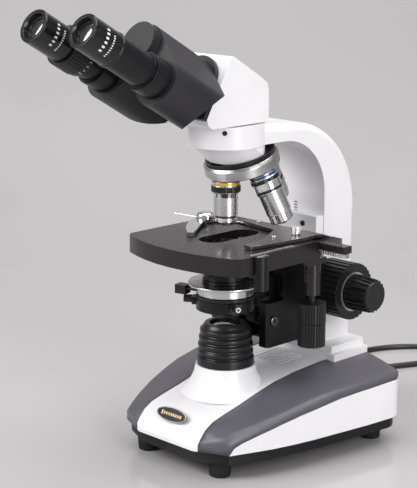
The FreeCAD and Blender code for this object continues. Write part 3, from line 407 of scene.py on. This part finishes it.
def coil_points():
    """Turns that step inwards, upwards or outwards over the last quarter of each."""
    points = []
    for i in range(2, PER_TURN * len(TURN_SIDES) - PER_TURN // 4 + 1):
        turn, step = divmod(i, PER_TURN)
        share = max(0.0, 4 * step / PER_TURN - 3)
        after = min(turn + 1, len(TURN_SIDES) - 1)
        side = TURN_SIDES[turn] * (1 - share) + TURN_SIDES[after] * share
        layer = turn // 2 * (1 - share) + after // 2 * share
        angle = math.pi + 2 * math.pi * step / PER_TURN
        radius = COIL_R + side * CORD_D / 2
        points.append((COIL_AT[0] + radius * math.cos(angle),
                       COIL_AT[1] + radius * math.sin(angle), LAID + CORD_D * layer))
    return points


def make_cord(material):
    """The whole lead as one smooth curve through its laid route and its coil."""
    points = list(CORD_ROUTE) + coil_points() + list(LEAD_UP)
    curve = bpy.data.curves.new("cord", "CURVE")
    curve.dimensions = "3D"
    curve.bevel_depth = CORD_D / 2 * MM
    curve.bevel_resolution = 5
    curve.use_fill_caps = True
    spline = curve.splines.new("NURBS")
    spline.points.add(len(points) - 1)
    for control, point in zip(spline.points, points):
        control.co = (*at(*point), 1)
    spline.order_u = 3
    spline.use_endpoint_u = True
    spline.resolution_u = 8
    cord = bpy.data.objects.new("cord", curve)
    bpy.context.scene.collection.objects.link(cord)
    curve.materials.append(material)
    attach(cord, "base")
    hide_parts("cord_tube", "cord_coil")
    return cord


# ---- fine detail -----------------------------------------------------------------------------

TUBES = Vector(JOINTS["right_hinge"]["axis"])      # the way along the tubes, to the user's eyes
# columns: across, square to the tubes, along the tubes
HEAD = Matrix(((1, 0, 0), (0, TUBES.z, TUBES.y), (0, -TUBES.y, TUBES.z)))
# turns the third axis to the right
SIDEWAYS = Matrix(((0, 0, 1), (0, 1, 0), (-1, 0, 0)))
RIGHT = Vector((1, 0, 0))
BACK = Vector((0, 1, 0))
UP = Vector((0, 0, 1))
STAGE_TOP = corners("upper_stage")[1].z
SHOULDER = corners("objective_10x")[1].z           # where the objectives meet the nosepiece


def add_piece(name, points, faces, material, body):
    """Mesh from millimetre points in the optical frame; it rides on the body."""
    mesh = bpy.data.meshes.new(name)
    mesh.from_pydata([at(*p) for p in points], [], faces)
    mesh.update()
    piece = bpy.data.objects.new(name, mesh)
    bpy.context.scene.collection.objects.link(piece)
    mesh.materials.append(material)
    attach(piece, body)
    return piece


def band(name, profile, centre, turn, material, body, sides=64, flute=0.0):
    """Closed ring about the third axis of turn, through centre; profile is (r, along)."""
    points = []
    for i in range(sides):
        angle = 2 * math.pi * i / sides
        dip = flute if i % 2 else 0.0
        for r, along in profile:
            points.append(centre + turn @ Vector(
                ((r - dip) * math.cos(angle), (r - dip) * math.sin(angle), along)))
    count = len(profile)
    faces = []
    for i in range(sides):
        after = (i + 1) % sides
        for j in range(count):
            k = (j + 1) % count
            faces.append((i * count + j, after * count + j, after * count + k, i * count + k))
    piece = add_piece(name, points, faces, material, body)
    if not flute:
        piece.data.shade_smooth()
        piece.data.set_sharp_from_angle(angle=math.radians(35))


def bars(name, places, material, body, thick=0.12):
    """Many thin marks in one mesh; each is (centre, across, along, width, height)."""
    points = []
    faces = []
    for centre, across, along, width, height in places:
        out = across.cross(along).normalized() * thick
        first = len(points)
        for lift in (-out / 2, out):
            for sx, sy in ((-1, -1), (1, -1), (1, 1), (-1, 1)):
                points.append(Vector(centre) + across * sx * width / 2
                              + along * sy * height / 2 + lift)
        for a, b, c, d in ((3, 2, 1, 0), (4, 5, 6, 7), (0, 1, 5, 4), (1, 2, 6, 5),
                           (2, 3, 7, 6), (3, 0, 4, 7)):
            faces.append((first + a, first + b, first + c, first + d))
    add_piece(name, points, faces, material, body)


def mark_round(centre, radius, degrees, width, height):
    """Mark on a round surface, at a radius from a point on the axis of a tube."""
    angle = math.radians(degrees)
    normal = HEAD @ Vector((math.cos(angle), math.sin(angle), 0))
    across = HEAD @ Vector((-math.sin(angle), math.cos(angle), 0))
    return centre + normal * radius, across, TUBES, width, height


def eyepiece_marks(materials):
    """Two rows of plain white dashes round each eyepiece and ticks on the diopter ring."""
    radius = 13.42
    # first and last angle, place along the tube, height and count of the dashes
    rows = ((-38, 35, 14.0, 2.6, 6), (-45, 26, 7.6, 1.5, 10))
    for body in ("right_ocular", "left_ocular"):
        places = []
        for first, last, along, height, count in rows:
            centre = pivot(body + "_turn") + TUBES * along
            width = 0.55 * math.radians(last - first) * radius / count
            for i in range(count):
                degrees = first + (last - first) * i / (count - 1)
                places.append(mark_round(centre, radius, degrees, width, height))
        bars(body + "_marks", places, materials["mark"], body, 0.08)
    centre = pivot("diopter_turn") - TUBES * 8
    ticks = [mark_round(centre, 15.42, -60 + 15 * i, 0.5, 3.2 if i % 4 == 0 else 1.8)
             for i in range(9)]
    bars("diopter_ticks", ticks, materials["mark"], "diopter", 0.08)


def seat(quarter):
    """Foot of the axis and turn of a seat of the nosepiece, counted from the one in use."""
    centre = pivot("nosepiece_turn")
    axis = Vector(JOINTS["nosepiece_turn"]["axis"])
    turn = Matrix.Rotation(math.pi / 2 * quarter, 3, axis)
    return centre - turn @ centre, turn


def collar(radius, top, bottom):
    """Profile of a slim ring with bevelled rims, as (radius, below the shoulder)."""
    return (radius - 0.3, top), (radius, top + 0.1), (radius, bottom - 0.1), (radius - 0.3, bottom)


def grip(bottom):
    """Profile of the fluted black grip."""
    return (11.5, 3.5), (11.95, 3.7), (11.95, bottom - 0.2), (11.5, bottom)


FLUTE = 0.18
COLOUR_LINE = ((11.1, 0.5), (11.3, 0.6), (11.3, 2.4), (11.1, 2.5))
SLEEVE = ((11.5, 6.9), (11.8, 7.0), (11.8, 12.2), (11.5, 12.4))
CONE = ((10.5, 9.3), (10.72, 9.4), (10.0, 12.3), (9.6, 12.4))
# objective: quarter turn of the nosepiece, then its rings as finish, flute depth and profile
OBJECTIVE_RINGS = {
    "10x": (0, (("yellow", 0, COLOUR_LINE), ("gloss", FLUTE, grip(8.5)), ("chrome", 0, CONE),
                ("gloss", 0, collar(8.7, 28.2, 29.7)), ("chrome", 0, collar(8.7, 29.8, 33.0)))),
    "40x": (1, (("blue", 0, COLOUR_LINE), ("gloss", FLUTE, grip(6.8)), ("chrome", 0, SLEEVE),
                ("gloss", 0, collar(11.08, 13.1, 15.0)),
                ("chrome", 0, collar(9.72, 34.6, 40.9)))),
    "100x": (2, (("mark", 0, COLOUR_LINE), ("gloss", FLUTE, grip(6.8)), ("chrome", 0, SLEEVE),
                 ("gloss", 0, collar(11.08, 19.0, 21.5)))),
    "4x": (3, (("red", 0, COLOUR_LINE), ("gloss", FLUTE, grip(8.8)))),
}


def objective_rings(materials):
    """Coloured line, fluted grip and bright rings of the four objectives."""
    for name, (quarter, rings) in OBJECTIVE_RINGS.items():
        centre, turn = seat(quarter)
        for i, (finish, flute, profile) in enumerate(rings):
            points = [(r, SHOULDER - below) for r, below in profile]
            band("ring_%s_%d" % (name, i), points, centre, turn, materials[finish],
                 "nosepiece", 96, flute)


def badge_detail(materials):
    """Bright rim round the oval badge and a row of plain bronze marks."""
    slope = math.radians(56)
    along = Vector((0, math.cos(slope), math.sin(slope)))
    out = RIGHT.cross(along)
    badge_thickness = 1.2
    centre = middle("badge") + out * badge_thickness / 2
    steps = 72
    points = []
    for i in range(steps):
        angle = 2 * math.pi * i / steps
        for half_x, half_y, lift in ((16.8, 5.7, -0.2), (16.8, 5.7, 0.25), (16.1, 5.0, 0.25),
                                     (16.1, 5.0, -0.2)):
            points.append(centre + RIGHT * half_x * math.cos(angle)
                          + along * half_y * math.sin(angle) + out * lift)
    faces = [(4 * i + j, 4 * ((i + 1) % steps) + j, 4 * ((i + 1) % steps) + (j + 1) % 4,
              4 * i + (j + 1) % 4) for i in range(steps) for j in range(4)]
    add_piece("badge_rim", points, faces, materials["steel"], "base").data.shade_smooth()
    places = [(centre + RIGHT * (2.6 * i), RIGHT, along, 1.5, 3.6 if i == -4 else 2.4)
              for i in range(-4, 5)]
    bars("badge_marks", places, materials["bronze"], "base", 0.1)


def arm_marks(materials):
    """Row of small plain marks on the front of the arm, and a short stack of them below it."""
    front = corners("guide_cover")[1].y
    row = [((-8.5 + 2.1 * i, front, 213.2), RIGHT, UP, 1.2, 3.0) for i in range(8)]
    stack = [((-8.3, front, 187.0 + 2.4 * i), RIGHT, UP, 3.6, 1.1) for i in range(4)]
    bars("arm_marks", row + stack, materials["grey_mark"], "base", 0.08)


def stage_marks(materials):
    """Scale on the stage's right edge, vernier on its post and ticks on the slide holder."""
    edge = corners("upper_stage")[1].x
    top = STAGE_TOP + 0.02
    bars("stage_scale", [((edge - 2.3, -9.0, top), RIGHT, BACK, 1.6, 50.0)],
         materials["steel"], "cross_stage")
    ticks = [((edge - 4.4, -32 + 2 * i, top), RIGHT, BACK, 3.0 if i % 5 == 0 else 1.6, 0.4)
             for i in range(24)]
    bars("stage_scale_ticks", ticks, materials["mark"], "cross_stage", 0.06)

    post_edge, post_top = corners("vernier_post")[1].xz
    post_y = middle("vernier_post").y
    bars("vernier", [((post_edge - 4.4, post_y, post_top + 0.1), RIGHT, BACK, 4.0, 9.5)],
         materials["chrome"], "stage", 0.2)
    ticks = [((post_edge - 5.3, post_y + 0.95 * i, post_top + 0.32), RIGHT, BACK, 2.0, 0.22)
             for i in range(-4, 5)]
    bars("vernier_ticks", ticks, materials["gloss"], "stage", 0.04)

    rear = corners("slide_holder")[1].y
    ticks = [((-18 + 2 * i, rear - 1, top + 3.3), RIGHT, BACK, 0.3, 1.4 if i % 5 == 0 else 0.8)
             for i in range(46)]
    bars("holder_ticks", ticks, materials["gloss"], "holder", 0.04)


def sockets(materials):
    """Bright ends on the centring screws and the condenser's shaft, each with a flat black hexagon
    as painted shade for its socket's recess.
    """
    screw_end = Vector((34.4, 0, middle("centring_screws").z))
    for name, degrees in (("right", -28), ("left", -142)):
        about = Matrix.Rotation(math.radians(degrees), 3, "Z")
        band("socket_rim_" + name, ((1.3, 0.2), (1.9, 0.2), (1.9, 0.0), (1.3, 0.0)),
             about @ screw_end, about @ SIDEWAYS, materials["steel"], "condenser")
        # painted shade: a flat gloss-black hexagon stands for the dark inside of the screw's
        # socket
        band("socket_hole_shade_" + name, ((0.05, 0.15), (1.3, 0.15), (1.3, 0.0), (0.05, 0.0)),
             about @ screw_end, about @ SIDEWAYS, materials["gloss"], "condenser", 6)
    shaft_end = pivot("condenser_turn") + RIGHT * (corners("condenser_knob")[1].x - 0.05)
    band("shaft_rim", ((2.4, 0.3), (3.4, 0.3), (3.8, 0.0), (2.4, 0.0)), shaft_end, SIDEWAYS,
         materials["plate"], "condenser_drive")
    # painted shade: a flat gloss-black hexagon stands for the dark inside of the shaft's socket
    band("shaft_hole_shade", ((0.05, 0.2), (2.4, 0.2), (2.4, 0.0), (0.05, 0.0)), shaft_end, SIDEWAYS,
         materials["gloss"], "condenser_drive", 6)


def knob_detail(materials):
    """Graduated ring between the coarse and fine knobs on each side."""
    centre = pivot("coarse_turn")
    face = corners("coarse_knob_right")[1].x
    inner, outer, thick = 14.8, 16.6, 0.4
    tick_count = 40
    for side, name in ((1, "right"), (-1, "left")):
        profile = [(r, side * x) for r, x in ((inner, face - 0.1), (inner, face + thick),
                                              (outer, face + thick), (outer, face - 0.1))]
        band("focus_ring_" + name, profile, centre, SIDEWAYS, materials["steel"], "coarse_drive")
        ticks = []
        for i in range(tick_count):
            angle = 2 * math.pi * i / tick_count
            out = Vector((0, math.cos(angle), math.sin(angle)))
            across = Vector((0, -math.sin(angle), math.cos(angle))) * side
            place = centre + RIGHT * side * (face + thick + 0.05) + out * 15.8
            ticks.append((place, across, out, 0.3, 1.3))
        bars("focus_ticks_" + name, ticks, materials["mark"], "coarse_drive", 0.05)


def fine_ribs(materials):
    """Tapered ribs round the fine knobs, from the wide inner end to the narrow outer one."""
    centre = pivot("fine_turn")
    end = corners("fine_knob_right")[1].x
    rib_count = 20
    # ends of a rib: distance from the middle, then radius of its foot and of its crest
    rib_ends = ((end - 21.8, 12.8, 15.3), (end - 1.6, 12.0, 14.0))
    rib_faces = ((0, 1, 5, 4), (1, 2, 6, 5), (2, 3, 7, 6), (3, 0, 4, 7), (3, 2, 1, 0),
                 (4, 5, 6, 7))
    for side, node in ((1, "fine_knob_right"), (-1, "fine_knob_left")):
        points = []
        faces = []
        for i in range(rib_count):
            turn = Matrix.Rotation(2 * math.pi * i / rib_count, 3, "X")
            first = len(points)
            for x, foot, crest in rib_ends:
                for y, z in ((-1.0, foot), (-0.5, crest), (0.5, crest), (1.0, foot)):
                    points.append(centre + turn @ Vector((side * x, y, z)))
            faces += [tuple(first + k for k in face[::side]) for face in rib_faces]
        piece = add_piece(node + "_ribs", points, faces, materials["plastic"], BODY_OF[node])
        bevel = piece.modifiers.new("ease", "BEVEL")
        bevel.width = 0.3 * MM
        bevel.segments = 2


materials = make_materials()
make_camera()
make_lights()
make_floor()
dress_parts(materials)
eyepiece_marks(materials)
objective_rings(materials)
badge_detail(materials)
arm_marks(materials)
stage_marks(materials)
sockets(materials)
knob_detail(materials)
fine_ribs(materials)
cord = make_cord(materials["cord"])
